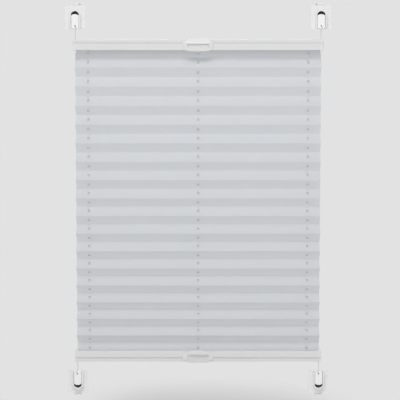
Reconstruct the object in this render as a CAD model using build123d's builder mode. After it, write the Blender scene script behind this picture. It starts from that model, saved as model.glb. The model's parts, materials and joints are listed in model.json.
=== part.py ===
from build123d import *
from math import sqrt
import os

# A pleated blind stretched between four clamp brackets. Millimetres, +Z up, -Y towards the room.
# The origin is in the middle of the blind, and the tensioned cords lie in the plane Y = 0.
# Each end (top +1, bottom -1) is drawn once: its heights are measured outwards from the fabric.

# Overall layout: cuts run past the faces that they open, and small bores and cords have few sides
blind_width = 402.0
fabric_width = 396.0
fabric_edge = 244.5
cord_x = 197.5
column_places = (-177.5, 0.0, 177.5)
cord_radius = 0.45
bracket_edge = 278.5
past = 0.1
bore_sides = 8
cord_sides = 6
ends = {"top": 1, "bottom": -1}
sides = {"left": -1, "right": 1}

# Rails
rail_depth = 22.0
rail_height = 17.5
rail_wall = 1.2
rail_corner = 1.2
cap_length = 5.5
cap_relief = fabric_width / 2 + 0.3 - (blind_width / 2 - cap_length)
slot_half = 4.0
groove_low = 10.2
groove_high = 12.3
groove_depth = 1.8
lip_set_back = 1.0
channel_half = 9.6
channel_top = 5.2
chamber_half = 8.3
chamber_floor = channel_top + rail_wall
web_hole = 2.0
extrusion_half = blind_width / 2 - cap_length
plug_length = 9.0
plug_wall = 1.5
cap_wall = 1.2
cap_corner = 0.8
cap_chamfer = 0.5
cap_cord_hole = 0.8
cap_cord_depth = 4.0
tongue_outline = [
    (extrusion_half + 0.1, 1.5),
    (extrusion_half + 0.1, -4.6),
    (extrusion_half + 1.1, -6.2),
    (extrusion_half + 2.3, -6.2),
    (cord_x + 1.0, -1.0),
    (cord_x + 1.0, 1.5),
]

# Fabric
fabric_thickness = 0.35
face_length = 20.0
face_count = 32
top_face_height = 15.6
bottom_face_height = 13.5
half_face_height = 11.7
flap_level = 1.4
flap_front = -3.3
flap_back = 8.0
fabric_hole = 1.7

# Retaining strip and cord guides
strip_half = 9.0
strip_low = 1.6
strip_high = 5.1
strip_length = 388.0
strip_hole = 1.5
strip_chamfer = 0.5
guide_size = 8.0
guide_top = 8.6
guide_bore = 0.8
guide_clearance = 0.05

# Cord runs inside the rails
top_run_level = 11.6
bottom_run_level = 11.0
run_aside = 2.4
aside_length = 10.0
cord_turn = 2.2
knot_radius = 1.3
knot_level = 10.1
spring_radius = 2.0
spring_chamfer = 1.0
spring_start = 15.0
spring_length = 60.0

# Handle
handle_half = 25.0
handle_clip_half = 17.0
handle_lip_half = 22.5
handle_gap = 0.05
pocket_half = 17.0
pocket_low = 4.9
pocket_high = 10.1
pocket_floor = -12.3
pocket_chamfer = 1.2
handle_front = -17.4
handle_wing_front = -12.5
wing_high = 14.8
wing_low = 4.0
lip_low = 0.6
lip_bow = -2.3
lip_corner_level = 0.8
clip_back = -5.0
clip_bead = 0.6
handle_profile = [
    (-rail_depth / 2 - 0.75, -2.2),
    (-15.6, -2.4),
    (handle_front, -0.6),
    (handle_front, 3.4),
    (-16.6, 5.4),
    (-15.4, 9.8),
    (-11.8, rail_height + 1.5),
    (clip_back, rail_height + 1.5),
]

# Clamp bracket, with heights measured outwards from its edge near the blind
plate_width = 32.5
plate_height = 38.0
plate_back = 4.0
plate_front = 1.5
plate_corner = 3.0
slot_width = 13.2
slot_top = 28.6
rim_wall = 2.2
rim_front = -6.0
rim_chamfer = 0.6
step_wall = 4.4
step_front = -0.4

# Tension shoe
shoe_width = 12.4
shoe_bottom = 0.6
shoe_top = 23.8
shoe_shoulder = 21.6
shoe_front = -5.4
shoe_chamfer = 0.9
shoe_hole_height = 5.1
shoe_hole = 1.1
shoe_bore = 0.6
shoe_slit_aside = 1.3
shoe_slit_width = 0.9
shoe_slit_tilt = 24
shoe_knot = 0.9

# Hook strap, clamp nut, pad and screw, whose round parts are drawn with this many sides
round_sides = 16
strap_width = 12.5
strap_thickness = 1.2
strap_foot = 18.0
strap_bend = 1.8
sash_edge = 40.5
strap_inside = 28.0
strap_drop = 24.0
screw_height = sash_edge - 12.0
screw_radius = 2.5
screw_clearance = 0.05
strap_hole = 3.0
nut_across_flats = 8.0
nut_back = 33.2
pad_radius = 5.0
pad_front = 22.0
pad_back = 25.0
pad_bore = 1.7
screw_tip_radius = 1.5
screw_tip_length = 2.0
screw_end = 41.0
socket_across_flats = 3.0
socket_depth = 3.0

os.makedirs("parts", exist_ok=True)
made = []


def keep(builder, name):
    builder.part.label = name
    export_step(builder.part, f"parts/{name}.step")
    made.append(name)


def rail_plane(end, x=0.0):
    # local x runs towards the window, local y outwards from the fabric
    return Plane(origin=(x, 0, end * fabric_edge), x_dir=(0, 1, 0), z_dir=(end, 0, 0))


def rail_front(end, y):
    # local x runs along the rail, local y outwards from the fabric, extrusion towards the room
    return Plane(origin=(0, y, end * fabric_edge), x_dir=(end, 0, 0), z_dir=(0, -1, 0))


def rail_level(end, height):
    # a level across the rail, where an extrusion of end * length goes outwards from the fabric
    return Plane.XY.offset(end * (fabric_edge + height))


def bracket_front(side, end, y):
    # local y runs outwards from the bracket's edge near the blind, extrusion towards the room
    middle = (side * cord_x, y, end * bracket_edge)
    return Plane(origin=middle, x_dir=(end, 0, 0), z_dir=(0, -1, 0))


def bracket_side(side, end):
    # local x runs towards the window, local y outwards from the bracket's edge
    middle = (side * cord_x, 0, end * bracket_edge)
    return Plane(origin=middle, x_dir=(0, 1, 0), z_dir=(end, 0, 0))


def rail_outline():
    # the outer section: a flat front, a groove that the handle snaps into, and a lip set back
    half = rail_depth / 2
    lip = half - lip_set_back
    groove = half - groove_depth
    side = [
        (half, 0),
        (half, groove_low),
        (groove, groove_low + 0.4),
        (groove, groove_high),
        (lip, groove_high),
        (lip, rail_height),
    ]
    return side + [(-y, u) for y, u in reversed(side)]


def add_channel(mode=Mode.ADD):
    # the channel for the fabric's strip and the slot that the fabric leaves by
    channel_height = channel_top - rail_wall
    with Locations((0, rail_wall + channel_height / 2)):
        Rectangle(2 * channel_half, channel_height, mode=mode)
    with Locations((0, rail_wall / 2)):
        Rectangle(2 * slot_half, rail_wall + 0.01, mode=mode)


def arch(half, top):
    # a slot's outline, open at the bracket's edge and round at its far end
    with BuildLine() as outline:
        Line((-half, 0), (-half, top - half))
        ThreePointArc((-half, top - half), (0, top), (half, top - half))
        Line((half, top - half), (half, 0))
        Line((half, 0), (-half, 0))
    return outline.line


# Rails: extrusions with a channel for the fabric's strip and a chamber for the cords
for end_name, end in ends.items():
    with BuildPart() as rail:
        with BuildSketch(rail_plane(end)) as section:
            with BuildLine():
                Polyline(rail_outline(), close=True)
            make_face()
            levels = section.vertices().group_by(Axis.Y)
            fillet(levels[0] + levels[-1], rail_corner)
            add_channel(Mode.SUBTRACT)
            chamber_height = rail_height - rail_wall - chamber_floor
            with Locations((0, chamber_floor + chamber_height / 2)):
                Rectangle(2 * chamber_half, chamber_height, mode=Mode.SUBTRACT)
        extrude(amount=extrusion_half, both=True)
        with BuildSketch(rail_level(end, channel_top - past)):
            with Locations(*[(x, 0) for x in column_places]):
                RegularPolygon(web_hole, bore_sides)
        extrude(amount=end * (rail_wall + 2 * past), mode=Mode.SUBTRACT)
    keep(rail, f"{end_name}_rail")

# End caps: a hollow cap of the rail's own section, a plug into its chamber and a front tongue
for end_name, end in ends.items():
    for side_name, side in sides.items():
        with BuildPart() as cap:
            start = side * extrusion_half
            with BuildSketch(rail_plane(end, start)) as section:
                with BuildLine():
                    Polyline(rail_outline(), close=True)
                make_face()
                levels = section.vertices().group_by(Axis.Y)
                chamfer(levels[0] + levels[-1], cap_corner)
            extrude(amount=side * end * cap_length)
            face = cap.faces().sort_by(Axis.X)[-1 if side > 0 else 0]
            chamfer(face.edges(), cap_chamfer)
            plug_height = rail_height - rail_wall - chamber_floor - 0.2
            with BuildSketch(rail_plane(end, start)):
                with Locations((0, chamber_floor + 0.1 + plug_height / 2)):
                    Rectangle(2 * chamber_half - 0.2, plug_height)
            extrude(amount=-side * end * plug_length)
            with BuildSketch(rail_plane(end, start - side * (plug_length + past))):
                with Locations((0, chamber_floor + 0.1 + plug_height / 2)):
                    Rectangle(2 * (chamber_half - plug_wall), plug_height - 2 * plug_wall)
            cavity_length = plug_length + past + cap_length - cap_wall
            extrude(amount=side * end * cavity_length, mode=Mode.SUBTRACT)
            with BuildSketch(rail_plane(end, start)):
                add_channel()
            extrude(amount=side * end * cap_relief, mode=Mode.SUBTRACT)
            with BuildSketch(rail_level(end, rail_height + past)):
                with Locations((side * cord_x, 0)):
                    RegularPolygon(cap_cord_hole, bore_sides)
            extrude(amount=-end * cap_cord_depth, mode=Mode.SUBTRACT)
            with BuildSketch(rail_front(end, -rail_depth / 2 + groove_depth)):
                with BuildLine():
                    points = [(end * side * x, u) for x, u in tongue_outline]
                    Polyline(points, close=True)
                make_face()
            extrude(amount=groove_depth)
        keep(cap, f"end_cap_{end_name}_{side_name}")

# Pleated fabric: one sheet, its pleats a little more open at the top, where they carry more weight
height_step = (top_face_height - bottom_face_height) / (face_count - 1)
face_heights = [top_face_height - k * height_step for k in range(face_count)]
fold_line = [(flap_back, fabric_edge + flap_level), (flap_front, fabric_edge + flap_level)]
level = fabric_edge - half_face_height
for k in range(face_count + 1):
    neighbour = face_heights[min(k, face_count - 1)]
    fold_half = sqrt(face_length**2 - neighbour**2) / 2
    towards_window = 1 if k % 2 == 0 else -1
    fold_line.append((towards_window * fold_half, level))
    level -= neighbour
fold_line += [(flap_front, -fabric_edge - flap_level), (flap_back, -fabric_edge - flap_level)]
with BuildPart() as fabric:
    with BuildSketch(Plane.YZ):
        with BuildLine():
            Polyline(fold_line)
            offset(amount=fabric_thickness / 2, side=Side.BOTH, kind=Kind.INTERSECTION)
        make_face()
    extrude(amount=fabric_width / 2, both=True)
    with BuildSketch(Plane.XY.offset(-fabric_edge - rail_height)):
        with Locations(*[(x, 0) for x in column_places]):
            RegularPolygon(fabric_hole, 6)
    extrude(amount=2 * (fabric_edge + rail_height), mode=Mode.SUBTRACT)
keep(fabric, "pleated_fabric")
print("lowest fold", round(level, 2), "fabric edge", -fabric_edge)

# Retaining strips: they hold the fabric's end flap down on the channel's lips
for end_name, end in ends.items():
    with BuildPart() as strip:
        with BuildSketch(rail_plane(end)):
            with Locations((0, (strip_low + strip_high) / 2)):
                Rectangle(2 * strip_half, strip_high - strip_low)
        extrude(amount=strip_length / 2, both=True)
        chamfer(strip.edges().filter_by(Axis.X), strip_chamfer)
        with BuildSketch(rail_level(end, strip_low - past)):
            with Locations(*[(x, 0) for x in column_places]):
                RegularPolygon(strip_hole, bore_sides)
        extrude(amount=end * (strip_high - strip_low + 2 * past), mode=Mode.SUBTRACT)
    keep(strip, f"{end_name}_fabric_strip")

# Cord guides: one over each column of holes, its spigot in the rail's web
for end_name, end in ends.items():
    for number, x in enumerate(column_places, 1):
        with BuildPart() as guide:
            with BuildSketch(rail_level(end, chamber_floor)):
                with Locations((x, 0)):
                    Rectangle(guide_size, guide_size)
            extrude(amount=end * (guide_top - chamber_floor))
            chamfer(guide.edges().filter_by(Axis.Z), 1.0)
            with BuildSketch(rail_level(end, chamber_floor)):
                with Locations((x, 0)):
                    RegularPolygon(web_hole - guide_clearance, bore_sides)
            extrude(amount=-end * rail_wall)
            with BuildSketch(rail_level(end, channel_top - past)):
                with Locations((x, 0)):
                    RegularPolygon(guide_bore, bore_sides)
            extrude(amount=end * (guide_top - channel_top + 2 * past), mode=Mode.SUBTRACT)
        keep(guide, f"cord_guide_{end_name}_{number}")

# Handles: a clip over the rail's outer edge with a finger pocket and a bowed lip
for end_name, end in ends.items():
    face = -rail_depth / 2 - handle_gap
    lip_face = face + lip_set_back
    clip_inside = [
        (clip_back, rail_height + handle_gap),
        (lip_face, rail_height + handle_gap),
        (lip_face, groove_high - 0.1),
        (lip_face + clip_bead, groove_high - 0.15),
        (lip_face + clip_bead, groove_low + 0.7),
        (face, groove_low),
    ]
    with BuildPart() as handle:
        with BuildSketch(rail_plane(end)):
            with BuildLine():
                Polyline([(face, lip_low)] + handle_profile + clip_inside, close=True)
            make_face()
        extrude(amount=handle_half, both=True)
        with BuildSketch(rail_front(end, 0)):
            with BuildLine():
                for mirror in (1, -1):
                    clip_top = (mirror * handle_clip_half, rail_height + 2.0)
                    clip_foot = (mirror * (handle_clip_half + 1.5), wing_high)
                    wing_top = (mirror * (handle_half - 2.0), wing_high)
                    wing_middle = (mirror * handle_half, (wing_high + wing_low) / 2)
                    wing_bottom = (mirror * (handle_half - 1.0), wing_low)
                    lip_corner = (mirror * handle_lip_half, lip_corner_level)
                    Polyline((0, rail_height + 2.0), clip_top, clip_foot, wing_top)
                    ThreePointArc(wing_top, wing_middle, wing_bottom)
                    Line(wing_bottom, lip_corner)
                ThreePointArc(lip_corner, (0, lip_bow), (-lip_corner[0], lip_corner_level))
            make_face()
        extrude(amount=30, mode=Mode.INTERSECT)
        with BuildSketch(rail_level(end, -5.0)):
            with BuildLine():
                ThreePointArc(
                    (-handle_half, handle_wing_front), (0, handle_front), (handle_half, handle_wing_front)
                )
                Polyline(
                    (handle_half, handle_wing_front),
                    (handle_half, 0),
                    (-handle_half, 0),
                    (-handle_half, handle_wing_front),
                )
            make_face()
        extrude(amount=end * 30, mode=Mode.INTERSECT)
        with BuildSketch(rail_front(end, pocket_floor)) as pocket:
            with Locations((0, (pocket_low + pocket_high) / 2)):
                Rectangle(2 * pocket_half, pocket_high - pocket_low)
            chamfer(pocket.vertices(), pocket_chamfer)
        extrude(amount=10, taper=-6, mode=Mode.SUBTRACT)
    keep(handle, f"handle_{end_name}")

# Clamp brackets: a plate on the sash with a raised arched rim round the shoe's slot
for end_name, end in ends.items():
    for side_name, side in sides.items():
        with BuildPart() as bracket:
            with BuildSketch(bracket_front(side, end, plate_back)):
                with Locations((0, plate_height / 2)):
                    RectangleRounded(plate_width, plate_height, plate_corner)
            extrude(amount=plate_back - plate_front)
            with BuildSketch(bracket_front(side, end, plate_front)):
                add(make_face(arch(slot_width / 2 + step_wall, slot_top + step_wall), mode=Mode.PRIVATE))
            extrude(amount=plate_front - step_front)
            with BuildSketch(bracket_front(side, end, plate_front)):
                add(make_face(arch(slot_width / 2 + rim_wall, slot_top + rim_wall), mode=Mode.PRIVATE))
            extrude(amount=plate_front - rim_front)
            rim = bracket.faces().sort_by(Axis.Y)[0]
            chamfer(rim.edges(), rim_chamfer)
            with BuildSketch(bracket_front(side, end, plate_front)):
                add(make_face(arch(slot_width / 2, slot_top), mode=Mode.PRIVATE))
            extrude(amount=plate_front - rim_front + 1, mode=Mode.SUBTRACT)
            with BuildSketch(bracket_front(side, end, plate_back + past)):
                foot_height = plate_height - strap_foot + 0.1
                with Locations((0, strap_foot - 0.1 + foot_height / 2)):
                    Rectangle(strap_width + 0.2, foot_height + 0.1)
            extrude(amount=strap_thickness + past, mode=Mode.SUBTRACT)
        keep(bracket, f"bracket_{end_name}_{side_name}")

        # Tension shoe: slides into the slot and holds the knotted cord
        with BuildPart() as shoe:
            with BuildSketch(bracket_front(side, end, plate_front)):
                half = shoe_width / 2
                with BuildLine():
                    Line((-half, shoe_bottom), (-half, shoe_shoulder))
                    ThreePointArc((-half, shoe_shoulder), (0, shoe_top), (half, shoe_shoulder))
                    Line((half, shoe_shoulder), (half, shoe_bottom))
                    Line((half, shoe_bottom), (-half, shoe_bottom))
                make_face()
            extrude(amount=plate_front - shoe_front)
            front = shoe.faces().sort_by(Axis.Y)[0]
            chamfer(front.edges(), shoe_chamfer)
            with BuildSketch(bracket_front(side, end, 1.0)):
                with Locations((0, shoe_hole_height)):
                    RegularPolygon(shoe_hole, 12)
                with Locations((shoe_slit_aside, shoe_hole_height / 2)):
                    Rectangle(shoe_slit_width, shoe_hole_height, rotation=shoe_slit_tilt)
            extrude(amount=8, mode=Mode.SUBTRACT)
            with BuildSketch(Plane.XY.offset(end * bracket_edge)):
                with Locations((side * cord_x, 0)):
                    RegularPolygon(shoe_bore, bore_sides)
            extrude(amount=end * shoe_hole_height, mode=Mode.SUBTRACT)
        keep(shoe, f"tension_shoe_{end_name}_{side_name}")

        # Hook strap: a bent strip from the plate's back, over the sash edge and down behind it
        with BuildPart() as strap:
            with BuildSketch(bracket_side(side, end)) as section:
                low = plate_back - strap_thickness
                high = strap_inside + strap_thickness
                top_out = sash_edge + strap_thickness
                with BuildLine():
                    Polyline(
                        (low, strap_foot),
                        (low, top_out),
                        (high, top_out),
                        (high, sash_edge - strap_drop),
                        (strap_inside, sash_edge - strap_drop),
                        (strap_inside, sash_edge),
                        (plate_back, sash_edge),
                        (plate_back, strap_foot),
                        close=True,
                    )
                make_face()
                fillet(section.vertices().group_by(Axis.Y)[-1], strap_bend)
            extrude(amount=strap_width / 2, both=True)
            with BuildSketch(bracket_front(side, end, high + past)):
                with Locations((0, screw_height)):
                    RegularPolygon(strap_hole, bore_sides)
            extrude(amount=strap_thickness + 2 * past, mode=Mode.SUBTRACT)
        keep(strap, f"hook_strap_{end_name}_{side_name}")

        # Clamp nut: a hexagon welded on the strap's far side
        with BuildPart() as nut:
            with BuildSketch(bracket_front(side, end, nut_back)):
                with Locations((0, screw_height)):
                    RegularPolygon(nut_across_flats / 2, 6, major_radius=False)
            extrude(amount=nut_back - strap_inside - strap_thickness)
            with BuildSketch(bracket_front(side, end, nut_back + past)):
                with Locations((0, screw_height)):
                    RegularPolygon(screw_radius + screw_clearance, round_sides, major_radius=False)
            extrude(amount=10, mode=Mode.SUBTRACT)
        keep(nut, f"clamp_nut_{end_name}_{side_name}")

        # Clamp pad: a cup on the screw's tip that presses on the far side of the sash
        with BuildPart() as pad:
            with BuildSketch(bracket_front(side, end, pad_back)):
                with Locations((0, screw_height)):
                    RegularPolygon(pad_radius, round_sides)
            extrude(amount=pad_back - pad_front)
            with BuildSketch(bracket_front(side, end, pad_back + past)):
                with Locations((0, screw_height)):
                    RegularPolygon(pad_bore, bore_sides)
            extrude(amount=screw_tip_length + past, mode=Mode.SUBTRACT)
        keep(pad, f"clamp_pad_{end_name}_{side_name}")

        # Clamp screw: its tip turns in the pad, its thread in the nut
        with BuildPart() as screw:
            with BuildSketch(bracket_front(side, end, screw_end)):
                with Locations((0, screw_height)):
                    RegularPolygon(screw_radius, round_sides)
            extrude(amount=screw_end - pad_back - screw_clearance)
            with BuildSketch(bracket_front(side, end, pad_back + screw_clearance)):
                with Locations((0, screw_height)):
                    RegularPolygon(screw_tip_radius, round_sides)
            extrude(amount=screw_tip_length - screw_clearance)
            with BuildSketch(bracket_front(side, end, screw_end)):
                with Locations((0, screw_height)):
                    RegularPolygon(socket_across_flats / 2, 6, major_radius=False)
            extrude(amount=socket_depth, mode=Mode.SUBTRACT)
        keep(screw, f"clamp_screw_{end_name}_{side_name}")

        # Outer cord: taut from the shoe's hole to the rail's end cap, with its knot in the shoe
        with BuildPart() as cord:
            knot_z = bracket_edge + shoe_hole_height
            rail_z = fabric_edge + rail_height
            with BuildSketch(Plane.XY.offset(end * rail_z)):
                with Locations((side * cord_x, 0)):
                    RegularPolygon(cord_radius, bore_sides)
            extrude(amount=end * (knot_z - rail_z))
            with BuildSketch(Plane.XY.offset(end * (knot_z - shoe_knot / 2))):
                with Locations((side * cord_x, 0)):
                    RegularPolygon(shoe_knot, bore_sides)
            extrude(amount=end * shoe_knot)
        keep(cord, f"cord_{end_name}_{side_name}")

# Column cords: taut between the rails, through the holes in the fabric
for name, x in zip(("left", "middle", "right"), column_places):
    with BuildPart() as column:
        with BuildSketch(Plane.XY.offset(-fabric_edge)):
            with Locations((x, 0)):
                RegularPolygon(cord_radius, bore_sides)
        extrude(amount=2 * fabric_edge)
    keep(column, f"cord_column_{name}")

# Cord runs in the top rail: in through the end cap, along the chamber, down through a column
for side_name, side in sides.items():
    with BuildPart() as run:
        with BuildLine():
            corner_x = side * column_places[2]
            run_level = fabric_edge + top_run_level
            path = Polyline(
                (side * cord_x, 0, fabric_edge + rail_height),
                (side * cord_x, 0, run_level + cord_turn),
                (side * (cord_x - cord_turn), 0, run_level),
                (corner_x + side * cord_turn, 0, run_level),
                (corner_x, 0, run_level - cord_turn),
                (corner_x, 0, fabric_edge),
            )
        with BuildSketch(Plane(origin=path @ 0, z_dir=path % 0)):
            RegularPolygon(cord_radius, cord_sides)
        sweep(path=path, transition=Transition.RIGHT)
    keep(run, f"cord_run_top_{side_name}")

# Cord runs in the bottom rail: each crosses to the other end, with a spring in its middle
run_z = -fabric_edge - bottom_run_level
for side_name, side in sides.items():
    start_x = side * column_places[2]
    aside = side * run_aside
    spring_near = side * (spring_start + spring_length)
    spring_far = side * spring_start
    first_leg = [
        (start_x, 0, -fabric_edge),
        (start_x, 0, run_z + cord_turn),
        (start_x - side * cord_turn, 0, run_z),
        (start_x - side * aside_length, aside, run_z),
        (spring_near, aside, run_z),
    ]
    last_leg = [
        (spring_far, aside, run_z),
        (-side * (cord_x - aside_length), aside, run_z),
        (-side * (cord_x - cord_turn), 0, run_z),
        (-side * cord_x, 0, run_z - cord_turn),
        (-side * cord_x, 0, -fabric_edge - rail_height),
    ]
    with BuildPart() as run:
        for leg in (first_leg, last_leg):
            with BuildLine():
                path = Polyline(leg)
            with BuildSketch(Plane(origin=path @ 0, z_dir=path % 0)):
                RegularPolygon(cord_radius, cord_sides)
            sweep(path=path, transition=Transition.RIGHT)
    keep(run, f"cord_run_bottom_{side_name}")

    # Tension spring: its closed coils as one barrel in line with the cord
    with BuildPart() as spring:
        with BuildSketch(Plane(origin=(spring_far, aside, run_z), z_dir=(side, 0, 0))):
            RegularPolygon(spring_radius, 12)
        extrude(amount=spring_length)
        turns_apart = spring.faces().sort_by(Axis.X)
        chamfer(turns_apart[0].edges() + turns_apart[-1].edges(), spring_chamfer)
    keep(spring, f"tension_spring_{side_name}")

# Middle cord's ends: each is knotted over its guide
for end_name, end in ends.items():
    with BuildPart() as knot:
        with BuildSketch(rail_level(end, 0)):
            RegularPolygon(cord_radius, bore_sides)
        extrude(amount=end * knot_level)
        with BuildSketch(rail_level(end, knot_level - knot_radius)):
            RegularPolygon(knot_radius, bore_sides)
        extrude(amount=end * 2 * knot_radius)
    keep(knot, f"cord_knot_{end_name}")

print(len(made), "pieces")
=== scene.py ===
import json
from math import cos, hypot, pi, radians, sin, sqrt

import bmesh
import bpy
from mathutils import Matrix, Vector

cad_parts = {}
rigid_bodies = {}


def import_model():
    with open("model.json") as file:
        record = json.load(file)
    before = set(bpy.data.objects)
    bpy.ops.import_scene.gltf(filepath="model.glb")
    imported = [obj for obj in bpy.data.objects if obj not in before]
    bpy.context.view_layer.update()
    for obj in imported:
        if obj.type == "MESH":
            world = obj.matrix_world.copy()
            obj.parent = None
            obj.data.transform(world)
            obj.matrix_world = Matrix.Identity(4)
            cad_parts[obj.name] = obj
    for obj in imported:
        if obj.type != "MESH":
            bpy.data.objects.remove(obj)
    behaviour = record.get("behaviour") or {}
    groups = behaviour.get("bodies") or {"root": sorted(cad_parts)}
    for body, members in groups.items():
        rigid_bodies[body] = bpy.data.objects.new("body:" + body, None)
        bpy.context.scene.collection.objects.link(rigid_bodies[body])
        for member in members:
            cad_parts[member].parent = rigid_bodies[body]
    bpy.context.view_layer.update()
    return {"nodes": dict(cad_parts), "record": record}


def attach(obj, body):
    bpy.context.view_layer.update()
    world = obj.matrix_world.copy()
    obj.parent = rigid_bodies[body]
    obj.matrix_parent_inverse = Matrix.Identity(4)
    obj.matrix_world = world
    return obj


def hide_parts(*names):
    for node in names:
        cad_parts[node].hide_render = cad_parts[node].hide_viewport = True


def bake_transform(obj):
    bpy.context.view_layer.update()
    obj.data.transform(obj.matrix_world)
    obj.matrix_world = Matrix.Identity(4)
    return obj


# A pleated blind on taut cords, seen from the room. Metres, +Z up, -Y towards the room.
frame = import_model()
nodes = frame["nodes"]
record = frame["record"]
ends = {"top": 1, "bottom": -1}
sides = {"left": -1, "right": 1}
corners = [(f"{end}_{side}", ends[end], sides[side]) for end in ends for side in sides]
slotOf = {part["node"]: part["material_slot"] for part in record["subparts"]}
cordX = 0.1975  # the side cords, shoes and clamps, out from the middle
columnX = 0.1775  # the side columns of cord through the fabric
fabricEdge = 0.2445  # where the fabric meets each rail
faceLength = 0.020


# Node trees
def feed(tree, socket, value):
    if isinstance(value, bpy.types.NodeSocket):
        tree.links.new(value, socket)
    else:
        socket.default_value = value


def put(tree, nodeType, values=None, **settings):
    node = tree.nodes.new(nodeType)
    for key, value in settings.items():
        setattr(node, key, value)
    for key, value in (values or {}).items():
        feed(tree, node.inputs[key], value)
    return node


def calc(tree, operation, *values, clamp=False):
    node = put(tree, "ShaderNodeMath", operation=operation, use_clamp=clamp)
    for socket, value in zip(node.inputs, values):
        feed(tree, socket, value)
    return node.outputs[0]


def startTree(name, treeType, inputs, outputs):
    tree = bpy.data.node_groups.new(name, treeType)
    for label, kind, default in inputs:
        socket = tree.interface.new_socket(label, in_out="INPUT", socket_type="NodeSocket" + kind)
        if default is not None:
            socket.default_value = default
    for label, kind in outputs:
        tree.interface.new_socket(label, in_out="OUTPUT", socket_type="NodeSocket" + kind)
    return tree, tree.nodes.new("NodeGroupInput").outputs, tree.nodes.new("NodeGroupOutput").inputs


def runTree(name, tree, values, mesh=None):
    # the tree's result as a plain mesh at the origin
    piece = bpy.data.objects.new(name, mesh or bpy.data.meshes.new(name))
    bpy.context.scene.collection.objects.link(piece)
    modifier = piece.modifiers.new("build", "NODES")
    modifier.node_group = tree
    for item in tree.interface.items_tree:
        if item.item_type == "SOCKET" and item.in_out == "INPUT" and item.name in values:
            modifier[item.identifier] = values[item.name]
    depsgraph = bpy.context.evaluated_depsgraph_get()
    made = bpy.data.meshes.new_from_object(
        piece.evaluated_get(depsgraph), preserve_all_data_layers=True, depsgraph=depsgraph
    )
    piece.modifiers.clear()
    piece.data = made
    made.name = name
    return piece


# Camera: level with the top rail, a little right of the middle
cameraSettings = {
    "place": (0.003, -2.211, 0.240),
    "pitch": radians(4.9),
    "lens": 123.2,
    "shift": -0.0738,
}


def addCamera(settings):
    data = bpy.data.cameras.new("camera")
    data.lens = settings["lens"]
    data.shift_y = settings["shift"]
    camera = bpy.data.objects.new("camera", data)
    camera.location = settings["place"]
    camera.rotation_euler = (pi / 2 - settings["pitch"], 0, 0)
    bpy.context.scene.collection.objects.link(camera)
    bpy.context.scene.camera = camera


addCamera(cameraSettings)

# Studio: an even pale world, a broad key from above, a soft low fill and daylight through the fabric from behind
backdrop = (0.760, 0.760, 0.768)
worldLight = 0.40
areaLights = [
    ("key", (-0.4, -2.25, 2.35), (0.0, 0.0, -0.1), 1.4, 43.0),
    ("fill", (0.6, -2.6, -0.5), (0.0, 0.0, -0.2), 2.0, 17.0),
    ("back", (0.2, 1.6, 2.3), (0.0, 0.0, 0.0), 1.6, 28.0),
]


def addWorld():
    world = bpy.data.worlds.new("studio")
    world.use_nodes = True
    tree = world.node_tree
    tree.nodes.clear()
    path = put(tree, "ShaderNodeLightPath")
    seen = calc(tree, "MAXIMUM", path.outputs["Is Camera Ray"], path.outputs["Is Transmission Ray"])
    seen = calc(tree, "MAXIMUM", seen, path.outputs["Is Glossy Ray"])
    light = put(tree, "ShaderNodeBackground", {"Color": (1.0, 1.0, 1.0, 1.0), "Strength": worldLight})
    shown = put(tree, "ShaderNodeBackground", {"Color": (*backdrop, 1.0), "Strength": 1.0})
    mixed = put(tree, "ShaderNodeMixShader", {0: seen, 1: light.outputs[0], 2: shown.outputs[0]})
    put(tree, "ShaderNodeOutputWorld", {"Surface": mixed.outputs[0]})
    bpy.context.scene.world = world
    bpy.context.scene.view_settings.view_transform = "Standard"


def addAreaLight(name, place, aim, size, power):
    data = bpy.data.lights.new(name, "AREA")
    data.shape = "DISK"
    data.size = size
    data.energy = power
    light = bpy.data.objects.new(name, data)
    light.location = place
    light.rotation_euler = (Vector(aim) - Vector(place)).to_track_quat("-Z", "Y").to_euler()
    bpy.context.scene.collection.objects.link(light)


floorSettings = {"level": -0.385, "half": 2.5, "clear": 0.16, "gone": 0.42, "tone": 0.84}


def addFloor(settings):
    half, level = settings["half"], settings["level"]
    mesh = bpy.data.meshes.new("floor")
    points = [(-half, -half, level), (half, -half, level), (half, half, level), (-half, half, level)]
    mesh.from_pydata(points, [], [(0, 1, 2, 3)])
    floor = bpy.data.objects.new("floor", mesh)
    bpy.context.scene.collection.objects.link(floor)
    material = bpy.data.materials.new("floor")
    material.use_nodes = True
    tree = material.node_tree
    tree.nodes.clear()
    place = put(tree, "ShaderNodeTexCoord").outputs["Object"]
    flat = put(tree, "ShaderNodeVectorMath", {0: place, 1: (1, 1, 0)}, operation="MULTIPLY")
    radius = put(tree, "ShaderNodeVectorMath", {0: flat.outputs[0]}, operation="LENGTH")
    fade = put(tree, "ShaderNodeMapRange", {
        "Value": radius.outputs["Value"],
        "From Min": settings["clear"],
        "From Max": settings["gone"],
    }, interpolation_type="SMOOTHSTEP")
    matt = put(tree, "ShaderNodeBsdfDiffuse", {"Color": (*[settings["tone"]] * 3, 1.0)})
    glow = put(tree, "ShaderNodeEmission", {"Color": (*backdrop, 1.0), "Strength": 1.0})
    mixed = put(tree, "ShaderNodeMixShader", {0: fade.outputs[0], 1: matt.outputs[0], 2: glow.outputs[0]})
    put(tree, "ShaderNodeOutputMaterial", {"Surface": mixed.outputs[0]})
    mesh.materials.append(material)


addWorld()
for lightRow in areaLights:
    addAreaLight(*lightRow)
addFloor(floorSettings)
print("stage done")


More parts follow.
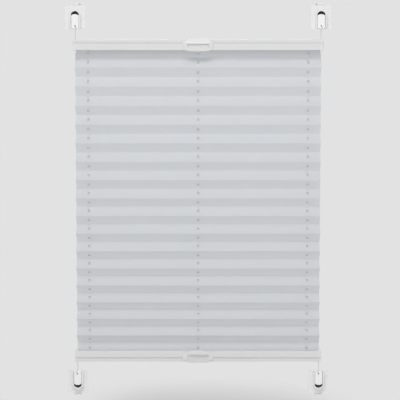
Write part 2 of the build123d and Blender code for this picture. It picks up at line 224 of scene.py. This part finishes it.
# Shared surface effects
def makeGrain():
    # fine grain on a hard surface: a bumped normal and a mask for its gloss
    tree, entry, leave = startTree("grain", "ShaderNodeTree", [
        ("Size", "Float", 0.0005), ("Height", "Float", 0.00002), ("Patch", "Float", 0.02),
    ], [("Normal", "Vector"), ("Patches", "Float")])
    place = put(tree, "ShaderNodeTexCoord").outputs["Object"]
    fine = put(tree, "ShaderNodeTexNoise", {
        "Vector": place, "Scale": calc(tree, "DIVIDE", 1.0, entry["Size"]), "Detail": 3.0, "Roughness": 0.6,
    })
    broad = put(tree, "ShaderNodeTexNoise", {
        "Vector": place, "Scale": calc(tree, "DIVIDE", 1.0, entry["Patch"]), "Detail": 4.0, "Roughness": 0.6,
    })
    bump = put(tree, "ShaderNodeBump", {"Height": fine.outputs[0], "Distance": entry["Height"]})
    feed(tree, leave["Normal"], bump.outputs[0])
    feed(tree, leave["Patches"], broad.outputs[0])
    return tree


def makeWeave():
    # plain weave from the sheet's own flat coordinates: thread crowns over and under
    tree, entry, leave = startTree("weave", "ShaderNodeTree", [
        ("Flat", "Vector", None), ("Pitch", "Float", 0.0006), ("Height", "Float", 0.00005),
    ], [("Normal", "Vector"), ("Threads", "Float"), ("Slubs", "Float")])
    parts = put(tree, "ShaderNodeSeparateXYZ", {"Vector": entry["Flat"]}).outputs
    across = calc(tree, "DIVIDE", parts[0], entry["Pitch"])
    along = calc(tree, "DIVIDE", parts[1], entry["Pitch"])
    warp = calc(tree, "SINE", calc(tree, "MULTIPLY", across, pi))
    weft = calc(tree, "SINE", calc(tree, "MULTIPLY", along, pi))
    crowns = calc(tree, "ABSOLUTE", calc(tree, "MULTIPLY", warp, weft))
    noise = put(tree, "ShaderNodeTexNoise", {"Vector": entry["Flat"], "Scale": 260.0, "Detail": 3.0})
    threads = calc(tree, "ADD", crowns, calc(tree, "MULTIPLY", noise.outputs[0], 0.6))
    stretched = put(tree, "ShaderNodeVectorMath", {0: entry["Flat"], 1: (40.0, 900.0, 1.0)}, operation="MULTIPLY")
    slubs = put(tree, "ShaderNodeTexNoise", {"Vector": stretched.outputs[0], "Scale": 1.0, "Detail": 2.0})
    bump = put(tree, "ShaderNodeBump", {"Height": threads, "Distance": entry["Height"]})
    feed(tree, leave["Normal"], bump.outputs[0])
    feed(tree, leave["Threads"], threads)
    feed(tree, leave["Slubs"], slubs.outputs[0])
    return tree


grainTree = makeGrain()
weaveTree = makeWeave()


# Materials
def startMaterial(name):
    material = bpy.data.materials.new(name)
    material.use_nodes = True
    tree = material.node_tree
    tree.nodes.clear()
    return material, tree


def tint(tree, mask, low, high):
    ramp = put(tree, "ShaderNodeMix", {0: mask, 6: (*low, 1.0), 7: (*high, 1.0)}, data_type="RGBA")
    return ramp.outputs[2]


def hardMaterial(name, settings):
    material, tree = startMaterial(name)
    grain = put(tree, "ShaderNodeGroup", node_tree=grainTree)
    for key in ("Size", "Height", "Patch"):
        grain.inputs[key].default_value = settings[key]
    patches = grain.outputs["Patches"]
    rough = put(tree, "ShaderNodeMapRange", {
        "Value": patches, "To Min": settings["roughness"][0], "To Max": settings["roughness"][1],
    })
    shader = put(tree, "ShaderNodeBsdfPrincipled", {
        "Base Color": tint(tree, patches, settings["low"], settings["high"]),
        "Roughness": rough.outputs[0],
        "Normal": grain.outputs["Normal"],
        "Metallic": settings.get("metallic", 0.0),
        "Specular IOR Level": settings.get("specular", 0.5),
    })
    put(tree, "ShaderNodeOutputMaterial", {"Surface": shader.outputs[0]})
    return material


hardSettings = {
    "rail": {"Size": 0.0012, "Height": 0.000012, "Patch": 0.05, "roughness": (0.34, 0.46),
             "low": (0.745, 0.745, 0.745), "high": (0.77, 0.77, 0.77)},
    "plastic": {"Size": 0.0005, "Height": 0.000015, "Patch": 0.012, "roughness": (0.40, 0.55),
                "low": (0.765, 0.765, 0.765), "high": (0.795, 0.795, 0.79)},
    "bracket": {"Size": 0.0005, "Height": 0.000012, "Patch": 0.012, "roughness": (0.38, 0.50),
                "low": (0.84, 0.84, 0.84), "high": (0.86, 0.86, 0.86)},
    "shoe": {"Size": 0.0005, "Height": 0.000012, "Patch": 0.012, "roughness": (0.34, 0.46),
             "low": (0.92, 0.92, 0.92), "high": (0.94, 0.94, 0.94)},
    "strap": {"Size": 0.0009, "Height": 0.00001, "Patch": 0.01, "roughness": (0.30, 0.45),
              "low": (0.74, 0.74, 0.73), "high": (0.78, 0.78, 0.775)},
    "steel": {"Size": 0.0004, "Height": 0.00001, "Patch": 0.004, "roughness": (0.26, 0.42),
              "low": (0.52, 0.52, 0.51), "high": (0.64, 0.64, 0.63), "metallic": 1.0},
    "pad": {"Size": 0.0004, "Height": 0.00003, "Patch": 0.004, "roughness": (0.70, 0.85),
            "low": (0.045, 0.045, 0.045), "high": (0.07, 0.07, 0.07)},
    # painted shade: near-black for the crescents that stand in for the shadow in the bracket slots
    "slotShadeBlack": {"Size": 0.0004, "Height": 0.00002, "Patch": 0.004, "roughness": (0.75, 0.9),
               "low": (0.02, 0.02, 0.02), "high": (0.03, 0.03, 0.03)},
    "cord": {"Size": 0.0003, "Height": 0.00004, "Patch": 0.003, "roughness": (0.75, 0.9),
             "low": (0.62, 0.62, 0.61), "high": (0.72, 0.72, 0.71)},
    "columnCord": {"Size": 0.0003, "Height": 0.00004, "Patch": 0.003, "roughness": (0.75, 0.9),
                   "low": (0.80, 0.80, 0.80), "high": (0.87, 0.87, 0.87)},
}

fabricSettings = {
    "light": (0.815, 0.83, 0.85),
    "dark": (0.775, 0.79, 0.81),
    "through": (0.89, 0.90, 0.91),
    "share": 0.40,
    "pitch": 0.00055,
    "height": 0.00004,
    # painted shade: a near-black ring round each cord hole, between these two radii, in this colour
    "rimInner": 0.00148,
    "rimOuter": 0.00185,
    "rim": (0.14, 0.14, 0.15),
}


def holeShadeMask(tree, settings):
    # painted shade: how near a point lies to the rim of a cord hole, for a near-black ring that stands in for the
    # shadow in the hole
    place = put(tree, "ShaderNodeTexCoord").outputs["Object"]
    parts = put(tree, "ShaderNodeSeparateXYZ", {"Vector": place}).outputs
    aside = calc(tree, "ABSOLUTE", parts["X"])
    nearest = calc(tree, "MINIMUM", aside, calc(tree, "ABSOLUTE", calc(tree, "SUBTRACT", aside, columnX)))
    squares = calc(tree, "ADD", calc(tree, "POWER", nearest, 2.0), calc(tree, "MULTIPLY", parts["Y"], parts["Y"]))
    return put(tree, "ShaderNodeMapRange", {
        "Value": calc(tree, "SQRT", squares),
        "From Min": settings["rimInner"],
        "From Max": settings["rimOuter"],
        "To Min": 1.0,
        "To Max": 0.0,
    }, interpolation_type="SMOOTHSTEP").outputs[0]


def fabricMaterial(settings):
    material, tree = startMaterial("fabric")
    flat = put(tree, "ShaderNodeAttribute", attribute_name="flatPlace").outputs["Vector"]
    weave = put(tree, "ShaderNodeGroup", {"Flat": flat}, node_tree=weaveTree)
    weave.inputs["Pitch"].default_value = settings["pitch"]
    weave.inputs["Height"].default_value = settings["height"]
    cloth = tint(tree, weave.outputs["Slubs"], settings["dark"], settings["light"])
    # painted shade: the cloth turns near-black round each cord hole and lets less light through there
    rims = holeShadeMask(tree, settings)
    surface = put(tree, "ShaderNodeBsdfPrincipled", {
        "Base Color": put(tree, "ShaderNodeMix", {0: rims, 6: cloth, 7: (*settings["rim"], 1.0)},
                          data_type="RGBA").outputs[2],
        "Roughness": 0.85,
        "Specular IOR Level": 0.2,
        "Sheen Weight": 0.15,
        "Sheen Roughness": 0.5,
        "Normal": weave.outputs["Normal"],
    })
    through = put(tree, "ShaderNodeBsdfTranslucent", {"Color": (*settings["through"], 1.0)})
    share = calc(tree, "MULTIPLY", calc(tree, "SUBTRACT", 1.0, rims), settings["share"])
    mixed = put(tree, "ShaderNodeMixShader", {0: share, 1: surface.outputs[0], 2: through.outputs[0]})
    put(tree, "ShaderNodeOutputMaterial", {"Surface": mixed.outputs[0]})
    return material


materials = {name: hardMaterial(name, settings) for name, settings in hardSettings.items()}
materials["fabric"] = fabricMaterial(fabricSettings)
for name, piece in nodes.items():
    finish = slotOf[name]
    if name.startswith("bracket"):
        finish = "bracket"
    if name.startswith("tension_shoe"):
        finish = "shoe"
    for place in piece.material_slots:
        place.link = "OBJECT"
        place.material = materials[finish]
print("materials done")

# Pleated fabric: the fold line by its rule, swept across the blind and punched for the cords
pleats = {
    "Folds": 33,
    "Edge": fabricEdge,
    "Half Face": 0.0117,
    "Top Face": 0.0156,
    "Face Step": (0.0156 - 0.0135) / 31,
    "Face Length": faceLength,
    "Flap Level": 0.0014,
    "Flap Front": -0.0033,
    "Fold Radius": 0.0004,
    "Width": 0.396,
    "Columns": 80,
    "Thickness": 0.00035,
    "Hole Radius": 0.0014,
    "Column Place": columnX,
    "Wave": 0.00022,
    "Sway": 0.0004,
}
foldNose = 0.0009  # how far round a fold its level stays the same


def makePleats():
    tree, entry, leave = startTree("pleats", "GeometryNodeTree", [
        ("Folds", "Int", 33), ("Edge", "Float", 0.0), ("Half Face", "Float", 0.0), ("Top Face", "Float", 0.0),
        ("Face Step", "Float", 0.0), ("Face Length", "Float", 0.0), ("Flap Level", "Float", 0.0),
        ("Flap Front", "Float", 0.0), ("Fold Radius", "Float", 0.0), ("Width", "Float", 0.0),
        ("Columns", "Int", 10), ("Thickness", "Float", 0.0), ("Hole Radius", "Float", 0.0),
        ("Column Place", "Float", 0.0), ("Wave", "Float", 0.0), ("Sway", "Float", 0.0),
        ("Material", "Material", None),
    ], [("Geometry", "Geometry")])

    def sub(*values):
        return calc(tree, "SUBTRACT", *values)

    def times(*values):
        return calc(tree, "MULTIPLY", *values)

    # fold line: the first and last points lie in the rails' slots
    index = put(tree, "GeometryNodeInputIndex").outputs[0]
    fold = sub(index, 1.0)
    lastFold = sub(entry["Folds"], 1.0)
    faceNumber = calc(tree, "MINIMUM", fold, sub(lastFold, 1.0))
    faceHeight = sub(entry["Top Face"], times(faceNumber, entry["Face Step"]))
    dropped = sub(times(fold, entry["Top Face"]), times(times(fold, sub(fold, 1.0)), times(entry["Face Step"], 0.5)))
    level = sub(sub(entry["Edge"], entry["Half Face"]), dropped)
    squares = sub(times(entry["Face Length"], entry["Face Length"]), times(faceHeight, faceHeight))
    depth = times(calc(tree, "SQRT", squares), 0.5)
    turned = sub(1.0, times(calc(tree, "MODULO", fold, 2.0), 2.0))
    isFirst = calc(tree, "LESS_THAN", index, 0.5)
    isLast = calc(tree, "GREATER_THAN", fold, calc(tree, "ADD", lastFold, 0.5))
    isEnd = calc(tree, "ADD", isFirst, isLast)
    rest = sub(1.0, isEnd)
    y = calc(tree, "ADD", times(times(depth, turned), rest), times(entry["Flap Front"], isEnd))
    flap = times(calc(tree, "ADD", entry["Edge"], entry["Flap Level"]), sub(isFirst, isLast))
    z = calc(tree, "ADD", times(level, rest), flap)
    line = put(tree, "GeometryNodeMeshLine", {"Count": calc(tree, "ADD", entry["Folds"], 2.0)})
    place = put(tree, "ShaderNodeCombineXYZ", {"Y": y, "Z": z})
    shaped = put(tree, "GeometryNodeSetPosition", {"Geometry": line.outputs[0], "Position": place.outputs[0]})
    curve = put(tree, "GeometryNodeMeshToCurve", {"Mesh": shaped.outputs[0]})
    rounded = put(tree, "GeometryNodeFilletCurve", {
        "Curve": curve.outputs[0], "Radius": entry["Fold Radius"], "Count": 2,
    }, mode="POLY")
    fine = put(tree, "GeometryNodeSubdivideCurve", {"Curve": rounded.outputs[0], "Cuts": 1})
    rows = put(tree, "GeometryNodeAttributeDomainSize", {0: fine.outputs[0]}, component="CURVE")
    rowCount = rows.outputs["Point Count"]

    # sheet: a grid whose rows take their places from the fold line
    grid = put(tree, "GeometryNodeMeshGrid", {
        "Size X": entry["Width"], "Size Y": 1.0, "Vertices X": entry["Columns"], "Vertices Y": rowCount,
    })
    gridIndex = put(tree, "GeometryNodeInputIndex").outputs[0]
    row = calc(tree, "MODULO", gridIndex, rowCount)
    linePlace = put(tree, "GeometryNodeInputPosition").outputs[0]
    sample = put(tree, "GeometryNodeSampleIndex", {"Geometry": fine.outputs[0], "Value": linePlace, "Index": row},
                 data_type="FLOAT_VECTOR")
    length = put(tree, "GeometryNodeSplineParameter").outputs["Length"]
    reach = put(tree, "GeometryNodeSampleIndex", {"Geometry": fine.outputs[0], "Value": length, "Index": row})
    here = put(tree, "ShaderNodeSeparateXYZ", {"Vector": put(tree, "GeometryNodeInputPosition").outputs[0]})
    onLine = put(tree, "ShaderNodeSeparateXYZ", {"Vector": sample.outputs[0]})
    flatPlace = put(tree, "ShaderNodeCombineXYZ", {"X": here.outputs["X"], "Y": reach.outputs[0]})
    noted = put(tree, "GeometryNodeStoreNamedAttribute", {
        "Geometry": grid.outputs[0], "Name": "flatPlace", "Value": flatPlace.outputs[0],
    }, data_type="FLOAT_VECTOR", domain="POINT")

    # the folds wander a little in height, and each face is not quite flat
    swayAt = put(tree, "ShaderNodeCombineXYZ", {
        "X": times(here.outputs["X"], 7.0), "Y": 0.0, "Z": times(onLine.outputs["Z"], 55.0),
    })
    sway = put(tree, "ShaderNodeTexNoise", {"Vector": swayAt.outputs[0], "Scale": 1.0, "Detail": 1.0})
    inRails = calc(tree, "GREATER_THAN", calc(tree, "ABSOLUTE", onLine.outputs["Z"]), sub(entry["Edge"], 0.006))
    free = sub(1.0, inRails)
    lift = times(times(sub(sway.outputs[0], 0.5), times(entry["Sway"], 2.0)), free)
    target = put(tree, "ShaderNodeCombineXYZ", {
        "X": here.outputs["X"], "Y": onLine.outputs["Y"], "Z": calc(tree, "ADD", onLine.outputs["Z"], lift),
    })
    folded = put(tree, "GeometryNodeSetPosition", {"Geometry": noted.outputs[0], "Position": target.outputs[0]})
    waveAt = put(tree, "ShaderNodeVectorMath", {
        0: put(tree, "GeometryNodeInputNamedAttribute", {"Name": "flatPlace"}, data_type="FLOAT_VECTOR").outputs[0],
        1: (22.0, 110.0, 1.0),
    }, operation="MULTIPLY")
    wave = put(tree, "ShaderNodeTexNoise", {"Vector": waveAt.outputs[0], "Scale": 1.0, "Detail": 1.0})
    normal = put(tree, "GeometryNodeInputNormal").outputs[0]
    across = times(times(sub(wave.outputs[0], 0.5), times(entry["Wave"], 2.0)), free)
    halfSheet = times(entry["Thickness"], -0.5)
    offset = calc(tree, "ADD", across, halfSheet)
    shift = put(tree, "ShaderNodeVectorMath", {0: normal, "Scale": offset}, operation="SCALE")
    waved = put(tree, "GeometryNodeSetPosition", {"Geometry": folded.outputs[0], "Offset": shift.outputs[0]})

    # thickness, then the holes for the three columns of cord
    thick = put(tree, "GeometryNodeExtrudeMesh", {
        "Mesh": waved.outputs[0], "Offset Scale": entry["Thickness"], "Individual": False,
    }, mode="FACES")
    under = put(tree, "GeometryNodeFlipFaces", {"Mesh": waved.outputs[0]})
    both = put(tree, "GeometryNodeJoinGeometry")
    tree.links.new(thick.outputs[0], both.inputs[0])
    tree.links.new(under.outputs[0], both.inputs[0])
    solid = put(tree, "GeometryNodeMergeByDistance", {"Geometry": both.outputs[0], "Distance": 0.00001})
    punch = put(tree, "GeometryNodeMeshCylinder", {
        "Vertices": 20, "Radius": entry["Hole Radius"], "Depth": calc(tree, "MULTIPLY", entry["Edge"], 2.2),
    })
    punches = put(tree, "GeometryNodeJoinGeometry")
    for step in (-1.0, 0.0, 1.0):
        where = put(tree, "ShaderNodeCombineXYZ", {"X": times(entry["Column Place"], step)})
        moved = put(tree, "GeometryNodeTransform", {"Geometry": punch.outputs[0], "Translation": where.outputs[0]})
        tree.links.new(moved.outputs[0], punches.inputs[0])
    holed = put(tree, "GeometryNodeMeshBoolean", operation="DIFFERENCE", solver="MANIFOLD")
    tree.links.new(solid.outputs[0], holed.inputs["Mesh 1"])
    tree.links.new(punches.outputs[0], holed.inputs["Mesh 2"])
    angle = put(tree, "GeometryNodeInputMeshEdgeAngle").outputs[0]
    smooth = put(tree, "GeometryNodeSetShadeSmooth", {"Geometry": holed.outputs[0]})
    sharp = put(tree, "GeometryNodeSetShadeSmooth", {
        "Geometry": smooth.outputs[0],
        "Selection": calc(tree, "GREATER_THAN", angle, radians(50)),
        "Shade Smooth": False,
    }, domain="EDGE")
    real = put(tree, "GeometryNodeRealizeInstances", {"Geometry": sharp.outputs[0]})
    dressed = put(tree, "GeometryNodeSetMaterial", {"Geometry": real.outputs[0], "Material": entry["Material"]})
    feed(tree, leave[0], dressed.outputs[0])
    return tree


def foldCorners(settings):
    end = settings["Edge"] + settings["Flap Level"]
    line, level = [(settings["Flap Front"], end)], settings["Edge"] - settings["Half Face"]
    for fold in range(settings["Folds"]):
        height = settings["Top Face"] - min(fold, settings["Folds"] - 2) * settings["Face Step"]
        depth = sqrt(settings["Face Length"] ** 2 - height**2) / 2
        line.append((depth if fold % 2 == 0 else -depth, level))
        level -= height
    return line + [(settings["Flap Front"], -end)]


def foldLevels(mesh, line, nose):
    # the fold line's height beside each point, the same all round a fold's nose, so that packed folds keep their shape
    legs = [(a, b, hypot(b[0] - a[0], b[1] - a[1])) for a, b in zip(line, line[1:])]
    levels = []
    for point in mesh.vertices:
        y, z = point.co.y, point.co.z
        nearest, level = 1.0, z
        for (y0, z0), (y1, z1), length in legs:
            if z > z0 + nose or z < z1 - nose:
                continue
            along = ((y - y0) * (y1 - y0) + (z - z0) * (z1 - z0)) / length**2
            along = min(max(along, 0.0), 1.0)
            gap = hypot(y - y0 - along * (y1 - y0), z - z0 - along * (z1 - z0))
            if gap < nearest:
                held = nose / length
                share = min(max((along - held) / (1.0 - 2 * held), 0.0), 1.0)
                nearest, level = gap, z0 + share * (z1 - z0)
        levels.append(level)
    return levels


def shareOnRails(piece, still, moved, other=None, levels=None):
    # a taut piece between two bodies: its share of the rail's travel grows evenly from still to moved
    levels = levels or [point.co.z for point in piece.data.vertices]
    shares = [min(max((level - still) / (moved - still), 0.0), 1.0) for level in levels]
    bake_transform(piece)
    if other:
        group = piece.vertex_groups.new(name="otherRail")
        for number, share in enumerate(shares):
            group.add([number], 1.0 - share, "REPLACE")
        hook = piece.modifiers.new("otherRail", "HOOK")
        hook.object = bpy.data.objects["body:" + other]
        hook.vertex_group = group.name
        hook.falloff_type = "NONE"
        hook.strength = 1.0
        hook.matrix_inverse.identity()
        hook.center = (0, 0, 0)


fabric = runTree("fabricSheet", makePleats(), {**pleats, "Material": materials["fabric"]})
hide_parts("pleated_fabric")
packing = foldLevels(fabric.data, foldCorners(pleats), foldNose)
shareOnRails(fabric, -pleats["Edge"], pleats["Edge"], "bottom_rail", packing)
print("fabric", len(fabric.data.vertices), "points", len(fabric.data.polygons), "faces")

# Cords: four twisted strands along each taut stretch, with a knot in each tension shoe
cordSettings = {
    "Radius": 0.00045,
    "Valley": 0.00034,
    "Step": 0.0006,
    "Twist": 0.0045,
}
cordPlaces = {"x": cordX, "rail": 0.2620, "knot": 0.2836, "columns": (-columnX, 0.0, columnX), "edge": fabricEdge}
knotSettings = {"size": 0.00042, "strand": 0.00034, "points": 36}


def makeCordTree():
    tree, entry, leave = startTree("twistedCord", "GeometryNodeTree", [
        ("Path", "Geometry", None), ("Radius", "Float", 0.0), ("Valley", "Float", 0.0),
        ("Step", "Float", 0.001), ("Twist", "Float", 0.01), ("Material", "Material", None),
    ], [("Geometry", "Geometry")])
    curve = put(tree, "GeometryNodeMeshToCurve", {"Mesh": entry["Path"]})
    even = put(tree, "GeometryNodeResampleCurve", {"Curve": curve.outputs[0], "Length": entry["Step"]}, mode="LENGTH")
    along = put(tree, "GeometryNodeSplineParameter").outputs["Length"]
    turns = calc(tree, "MULTIPLY", calc(tree, "DIVIDE", along, entry["Twist"]), 2 * pi)
    tilted = put(tree, "GeometryNodeSetCurveTilt", {"Curve": even.outputs[0], "Tilt": turns})
    star = put(tree, "GeometryNodeCurveStar", {
        "Points": 4, "Inner Radius": entry["Valley"], "Outer Radius": entry["Radius"],
    })
    tube = put(tree, "GeometryNodeCurveToMesh", {
        "Curve": tilted.outputs[0], "Profile Curve": star.outputs[0], "Fill Caps": True,
    })
    real = put(tree, "GeometryNodeRealizeInstances", {"Geometry": tube.outputs[0]})
    dressed = put(tree, "GeometryNodeSetMaterial", {"Geometry": real.outputs[0], "Material": entry["Material"]})
    feed(tree, leave[0], dressed.outputs[0])
    return tree


def pathMesh(name, lines):
    points = [point for line in lines for point in line]
    edges, first = [], 0
    for line in lines:
        edges += [(first + step, first + step + 1) for step in range(len(line) - 1)]
        first += len(line)
    mesh = bpy.data.meshes.new(name)
    mesh.from_pydata(points, edges, [])
    return mesh


def knotLine(x, z, settings):
    # one overhand turn, as a trefoil line
    line = []
    for step in range(settings["points"] + 1):
        angle = 2 * pi * step / settings["points"]
        size = settings["size"]
        line.append((
            x + size * (sin(angle) + 2 * sin(2 * angle)) / 2,
            size * (cos(angle) - 2 * cos(2 * angle)) / 2,
            z - size * sin(3 * angle) * 0.9,
        ))
    return line


cordTree = makeCordTree()
cordMaterial = {"Material": materials["cord"]}
for name, sign, side in corners:
    x, end = side * cordPlaces["x"], name.split("_")[0]
    stretch = [(x, 0, sign * cordPlaces["knot"]), (x, 0, sign * cordPlaces["rail"])]
    lines = [stretch, knotLine(x, sign * cordPlaces["knot"], knotSettings)]
    cord = runTree("outerCord_" + name, cordTree, {**cordSettings, **cordMaterial}, pathMesh("path", lines))
    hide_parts("cord_" + name)
    shareOnRails(cord, sign * cordPlaces["knot"], sign * cordPlaces["rail"])
for name, x in zip(("left", "middle", "right"), cordPlaces["columns"]):
    stretch = [(x, 0, -cordPlaces["edge"]), (x, 0, cordPlaces["edge"])]
    values = {**cordSettings, "Material": materials["columnCord"]}
    cord = runTree("columnCord_" + name, cordTree, values, pathMesh("path", [stretch]))
    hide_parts("cord_column_" + name)
    shareOnRails(cord, -cordPlaces["edge"], cordPlaces["edge"], "bottom_rail")
print("cords done")

# Clamp screws: a turned blank with a hexagon socket, threaded by the node tree
screwSettings = {
    "x": cordX, "height": 0.3070, "tip": 0.02305, "shoulder": 0.02505, "end": 0.0410,
    "tipRadius": 0.0015, "socket": 0.0015, "socketDepth": 0.003, "around": 30, "step": 0.00013,
}
threadSettings = {"Radius": 0.0025, "Depth": 0.00044, "Pitch": 0.0008, "Start": 0.0255, "End": 0.0405}
grooveSlope = 2.3  # how steeply a thread's flanks fall


def makeThreadTree():
    tree, entry, leave = startTree("screwThread", "GeometryNodeTree", [
        ("Blank", "Geometry", None), ("Radius", "Float", 0.0), ("Depth", "Float", 0.0), ("Pitch", "Float", 0.001),
        ("Start", "Float", 0.0), ("End", "Float", 0.0), ("Centre X", "Float", 0.0), ("Centre Z", "Float", 0.0),
        ("Material", "Material", None),
    ], [("Geometry", "Geometry")])
    place = put(tree, "ShaderNodeSeparateXYZ", {"Vector": put(tree, "GeometryNodeInputPosition").outputs[0]}).outputs
    x = calc(tree, "SUBTRACT", place["X"], entry["Centre X"])
    z = calc(tree, "SUBTRACT", place["Z"], entry["Centre Z"])
    turn = calc(tree, "DIVIDE", calc(tree, "ARCTAN2", z, x), 2 * pi)
    phase = calc(tree, "ADD", calc(tree, "DIVIDE", place["Y"], entry["Pitch"]), turn)
    wave = calc(tree, "PINGPONG", phase, 0.5)
    groove = calc(tree, "SUBTRACT", 1.0, calc(tree, "MULTIPLY", wave, grooveSlope), clamp=True)
    cut = calc(tree, "MULTIPLY", groove, entry["Depth"])
    radius = calc(tree, "SQRT", calc(tree, "ADD", calc(tree, "MULTIPLY", x, x), calc(tree, "MULTIPLY", z, z)))
    outer = calc(tree, "GREATER_THAN", radius, calc(tree, "MULTIPLY", entry["Radius"], 0.99))
    inside = calc(tree, "MULTIPLY", calc(tree, "GREATER_THAN", place["Y"], entry["Start"]),
                  calc(tree, "LESS_THAN", place["Y"], entry["End"]))
    share = calc(tree, "MULTIPLY", calc(tree, "MULTIPLY", outer, inside), calc(tree, "DIVIDE", cut, radius))
    offset = put(tree, "ShaderNodeCombineXYZ", {
        "X": calc(tree, "MULTIPLY", calc(tree, "MULTIPLY", x, share), -1.0),
        "Z": calc(tree, "MULTIPLY", calc(tree, "MULTIPLY", z, share), -1.0),
    })
    moved = put(tree, "GeometryNodeSetPosition", {"Geometry": entry["Blank"], "Offset": offset.outputs[0]})
    real = put(tree, "GeometryNodeRealizeInstances", {"Geometry": moved.outputs[0]})
    dressed = put(tree, "GeometryNodeSetMaterial", {"Geometry": real.outputs[0], "Material": entry["Material"]})
    feed(tree, leave[0], dressed.outputs[0])
    return tree


def screwBlank(x, z, settings, radius):
    # rings from the tip to the socket's floor, closed at both ends
    rings = [(settings["tip"], settings["tipRadius"], False), (settings["shoulder"], settings["tipRadius"], False)]
    rings += [(settings["shoulder"], radius - 0.0004, False)]
    steps = int((settings["end"] - settings["shoulder"] - 0.0006) / settings["step"])
    for number in range(steps + 1):
        rings.append((settings["shoulder"] + 0.0003 + number * settings["step"], radius, False))
    rings += [(settings["end"], radius - 0.0004, False), (settings["end"], settings["socket"], True)]
    rings += [(settings["end"] - settings["socketDepth"], settings["socket"], True)]
    around = settings["around"]
    points, faces = [], []
    for y, ringRadius, hexagon in rings:
        for step in range(around):
            angle = 2 * pi * step / around
            flat = cos((angle % (pi / 3)) - pi / 6) if hexagon else 1.0
            points.append((x + ringRadius / flat * cos(angle), y, z + ringRadius / flat * sin(angle)))
    for ring in range(len(rings) - 1):
        for step in range(around):
            a, b = ring * around + step, ring * around + (step + 1) % around
            faces.append((a, a + around, b + around, b))
    faces.append(tuple(range(around)))
    faces.append(tuple(reversed(range(len(points) - around, len(points)))))
    mesh = bpy.data.meshes.new("blank")
    mesh.from_pydata(points, [], faces)
    return mesh


threadTree = makeThreadTree()
for name, sign, side in corners:
    x, z = side * screwSettings["x"], sign * screwSettings["height"]
    blank = screwBlank(x, z, screwSettings, threadSettings["Radius"])
    values = {**threadSettings, "Centre X": x, "Centre Z": z, "Material": materials["steel"]}
    screw = runTree("threadedScrew_" + name, threadTree, values, blank)
    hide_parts("clamp_screw_" + name)
    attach(screw, "clamp_screw_" + name)
print("screws done")

# Painted shade in the slots: a near-black crescent in each bracket's slot, between the shoe's top and the arch,
# standing in for the shadow there
crescentShadeSettings = {
    "x": cordX, "edge": 0.2785, "half": 0.00655, "archLevel": 0.0220, "shoeTop": 0.0240, "shoeRadius": 0.0098,
    "back": 0.00145, "front": 0.0001, "steps": 24,
}


def crescentShadeOutline(settings):
    half, radius = settings["half"], settings["shoeRadius"]
    outline = []
    for step in range(settings["steps"] + 1):
        angle = pi * step / settings["steps"]
        outline.append((half * cos(angle), settings["archLevel"] + half * sin(angle)))
    for step in range(settings["steps"] + 1):
        u = -half + 2 * half * step / settings["steps"]
        outline.append((u, settings["shoeTop"] - radius + sqrt(radius**2 - u**2)))
    return outline


def makeCrescentShade(name, sign, side, settings):
    outline = crescentShadeOutline(settings)
    count, points = len(outline), []
    for y in (settings["front"], settings["back"]):
        points += [(side * settings["x"] + u, y, sign * (settings["edge"] + v)) for u, v in outline]
    faces = [tuple(range(count)), tuple(range(2 * count - 1, count - 1, -1))]
    faces += [(k, (k + 1) % count, count + (k + 1) % count, count + k) for k in range(count)]
    mesh = bpy.data.meshes.new(name)
    mesh.from_pydata(points, [], faces)
    solid = bmesh.new()
    solid.from_mesh(mesh)
    bmesh.ops.triangulate(solid, faces=solid.faces[:], ngon_method="EAR_CLIP")
    bmesh.ops.recalc_face_normals(solid, faces=solid.faces[:])
    solid.to_mesh(mesh)
    solid.free()
    mesh.materials.append(materials["slotShadeBlack"])
    piece = bpy.data.objects.new(name, mesh)
    bpy.context.scene.collection.objects.link(piece)
    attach(piece, "root")


for name, sign, side in corners:
    makeCrescentShade("paintedSlotShade_" + name, sign, side, crescentShadeSettings)
print("slotShades done")
